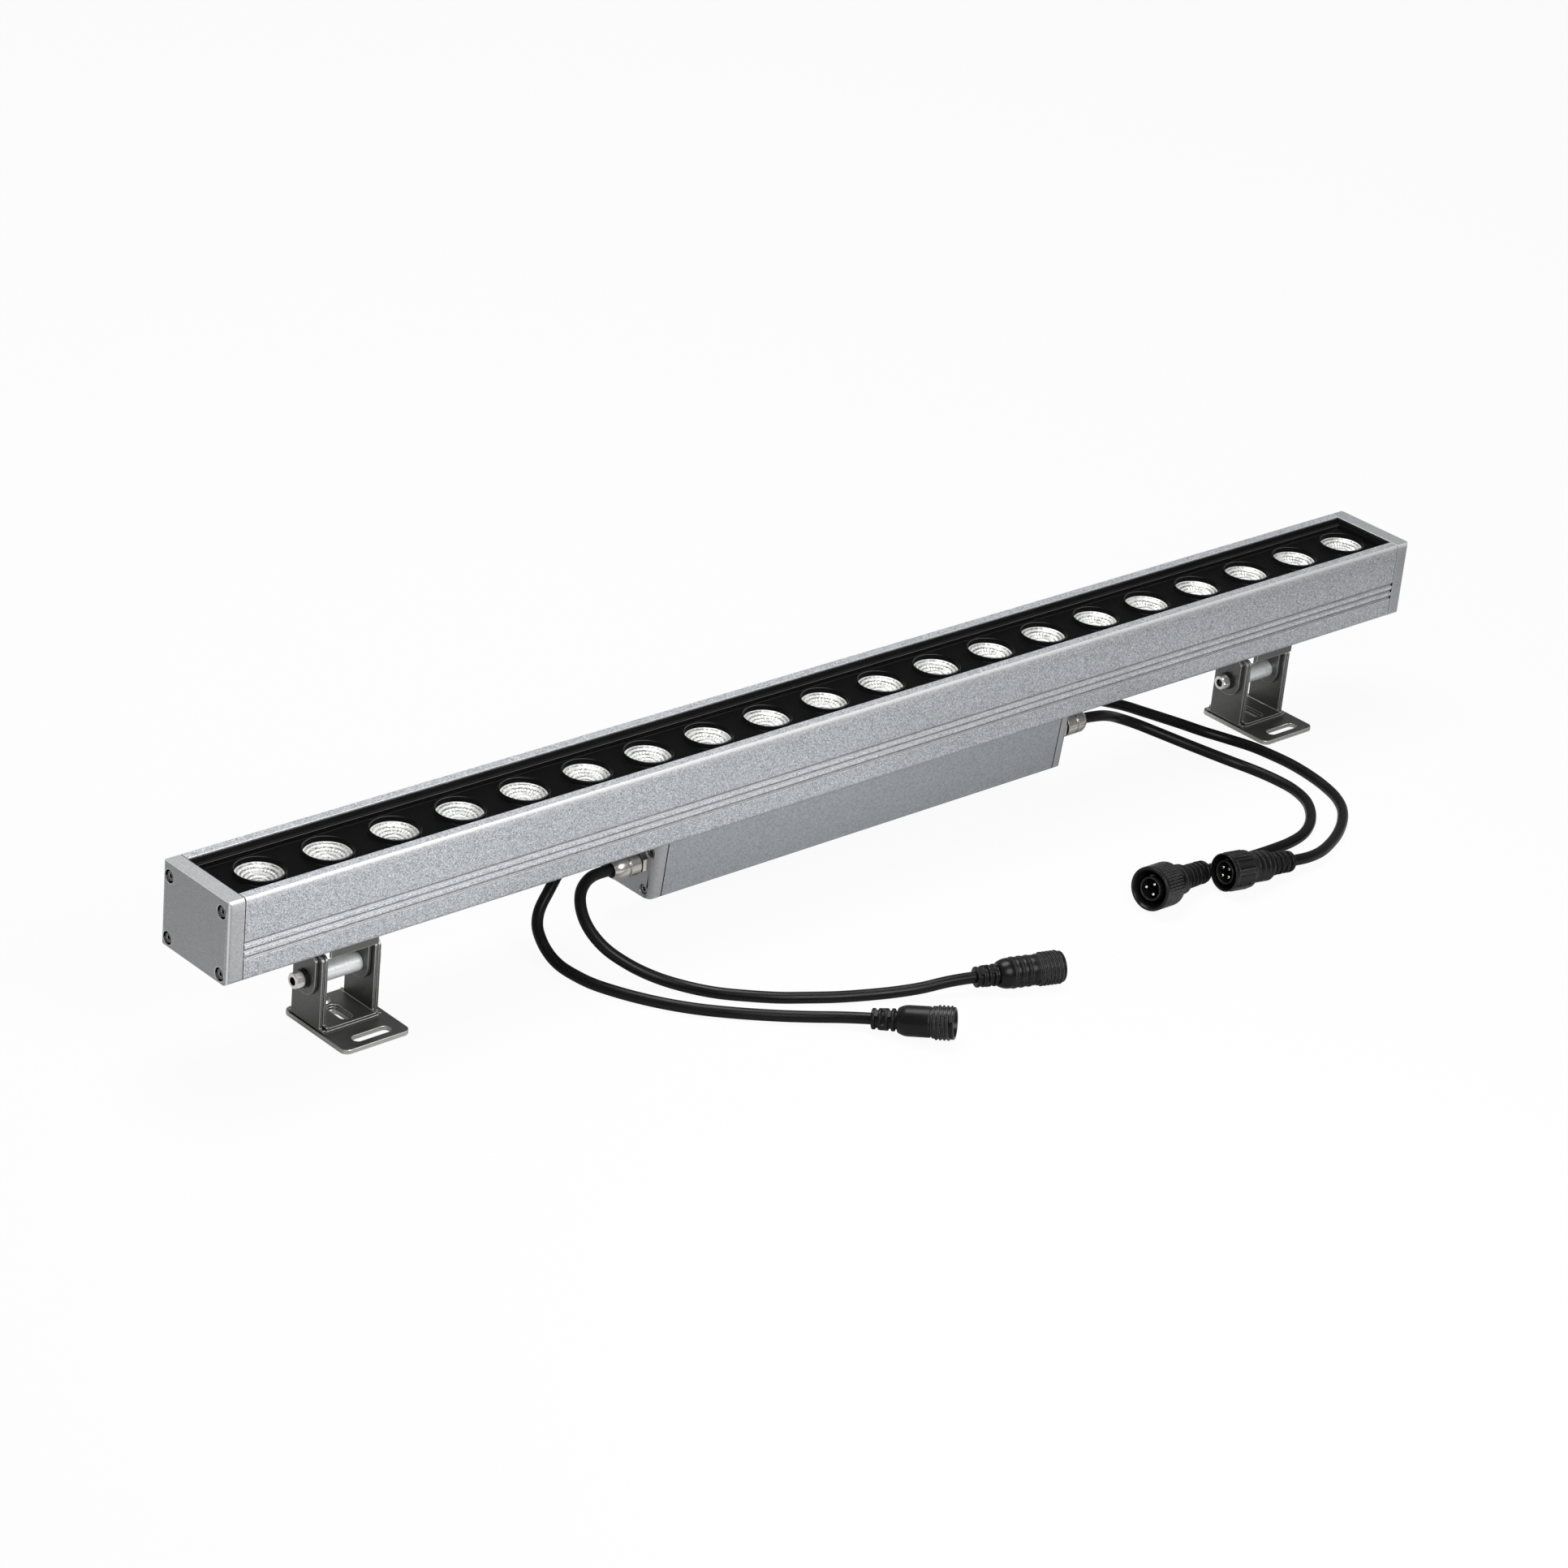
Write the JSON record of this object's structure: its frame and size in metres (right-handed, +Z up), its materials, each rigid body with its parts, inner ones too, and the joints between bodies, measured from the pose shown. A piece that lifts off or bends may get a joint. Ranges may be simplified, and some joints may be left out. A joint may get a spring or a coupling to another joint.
{
  "type": "outdoor wall washer light",
  "caption": "Linear outdoor wall washer light with a glass-covered row of lenses, driver box, tilting floor brackets and cables with screw connectors.",
  "frame": {"origin": "middle of the footprint of the lamp and its brackets, on the ground", "axes": "+X along the lamp to the three-pin and four-pin cable side, -Y to the front, where the base plates reach out, +Z up, the way the light shines"},
  "size_m": [1, 0.2624, 0.1213],
  "materials": {
    "silver_housing": "silver coating with a fine sparkling grain",
    "driver_grey": "blue-grey satin coating with a fine grain",
    "driver_cap_grey": "silver-grey coating with a fine grain",
    "bracket_grey": "dark grey satin sheet",
    "bright_steel": "bright",
    "sleeve_aluminium": "matt silver",
    "polished_bolt": "polished",
    "washer_black": "black oxide",
    "gland_nickel": "nickel plated",
    "seal_rubber": "matt black",
    "cable_rubber": "satin black",
    "relief_rubber": "satin black",
    "connector_plastic": "satin black",
    "contact_metal": "bright",
    "panel_black": "matt black",
    "clear_glass": "clear tempered",
    "clear_lens": "clear",
    "board_white": "white solder mask",
    "board_green": "green solder mask",
    "component_dark": "dark",
    "lead_red": "red insulation",
    "led_phosphor": "yellow phosphor"
  },
  "bodies": {
    "lamp": {"housing": "silver_housing", "end_cap_left": "silver_housing", "end_cap_right": "silver_housing", "end_gaskets": "seal_rubber", "end_cap_screws": "bright_steel", "cover_glass": "clear_glass", "glass_seal": "seal_rubber", "lens_panel": "panel_black", "lenses": "clear_lens", "led_board": "board_white", "led_chips": "led_phosphor", "led_board_screws": "bright_steel", "driver_box": "driver_grey", "driver_cap_left": "driver_cap_grey", "driver_cap_right": "driver_cap_grey", "driver_gaskets": "seal_rubber", "driver_cap_screws": "bright_steel", "driver_box_screws": "bright_steel", "driver_board": "board_green", "driver_components": "component_dark", "internal_leads": "lead_red", "cable_gland_bodies": "gland_nickel", "cable_gland_seals": "seal_rubber", "cable_gland_nuts": "gland_nickel", "tilt_bracket_left": "bracket_grey", "tilt_bracket_right": "bracket_grey", "tilt_bracket_screws": "bright_steel", "pivot_bolt_left": "polished_bolt", "pivot_bolt_right": "polished_bolt", "pivot_sleeves": "sleeve_aluminium", "pivot_washers": "washer_black", "pivot_nuts": "bright_steel", "cable_a": "cable_rubber", "cable_b": "cable_rubber", "cable_c": "cable_rubber", "cable_d_rear": "cable_rubber", "plug_a_body": "connector_plastic", "plug_a_relief": "relief_rubber", "plug_a_insert": "connector_plastic", "plug_b_body": "connector_plastic", "plug_b_relief": "relief_rubber", "plug_b_insert": "connector_plastic", "three_pin_body": "connector_plastic", "three_pin_relief": "relief_rubber", "three_pin_contacts": "contact_metal", "four_pin_body": "connector_plastic", "four_pin_relief": "relief_rubber", "four_pin_contacts": "contact_metal"},
    "bracket_left": {"base_plate_left": "bracket_grey", "outer_channel_left": "bracket_grey", "inner_channel_left": "bracket_grey", "channel_rivet_left": "bright_steel"},
    "bracket_right": {"base_plate_right": "bracket_grey", "outer_channel_right": "bracket_grey", "inner_channel_right": "bracket_grey", "channel_rivet_right": "bright_steel"},
    "three_pin_coupling": {"three_pin_nut": "connector_plastic"},
    "four_pin_coupling": {"four_pin_nut": "connector_plastic"}
  },
  "joints": [
    {"name": "left_bracket_tilt", "type": "hinge", "parent": "lamp", "child": "bracket_left", "pos_m": [-0.396, 0.0035, 0.0345], "axis": [1, 0, 0], "range_deg": [-80, 90]},
    {"name": "right_bracket_tilt", "type": "hinge", "parent": "lamp", "child": "bracket_right", "pos_m": [0.39, 0.0035, 0.0345], "axis": [1, 0, 0], "range_deg": [-80, 90]},
    {"name": "three_pin_nut_turn", "type": "hinge", "parent": "lamp", "child": "three_pin_coupling", "pos_m": [0.13185, -0.1632, 0.01538], "axis": [-0.9825, -0.1381, 0.1253], "continuous": true},
    {"name": "four_pin_nut_turn", "type": "hinge", "parent": "lamp", "child": "four_pin_coupling", "pos_m": [0.19347, -0.17251, 0.01344], "axis": [-0.9922, 0.0729, 0.1011], "continuous": true}
  ]
}
